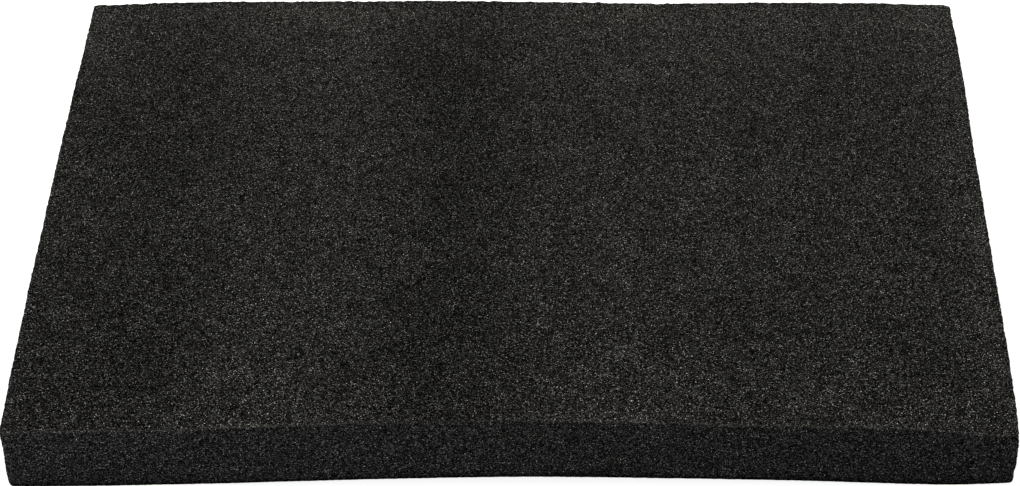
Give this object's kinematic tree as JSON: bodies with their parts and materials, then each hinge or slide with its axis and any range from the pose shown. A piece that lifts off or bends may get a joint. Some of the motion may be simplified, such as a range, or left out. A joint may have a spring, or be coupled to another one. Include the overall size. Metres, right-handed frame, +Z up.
{
  "type": "needle felting pad",
  "caption": "Rectangular block of black open-cell foam, bowed up a little along its front edge, that backs the wool while a barbed needle is worked through it.",
  "frame": {"origin": "on the surface that the pad lies on, under the middle of its footprint", "axes": "+X along the pad's length, +Y from its front edge to its back edge, +Z up through its thickness"},
  "size_m": [0.3, 0.2, 0.0286],
  "materials": {
    "foam": "matte open-cell foam, charcoal black, with fine torn cells on every sawn face"
  },
  "bodies": {
    "root": {"foam_pad": "foam"}
  },
  "joints": []
}
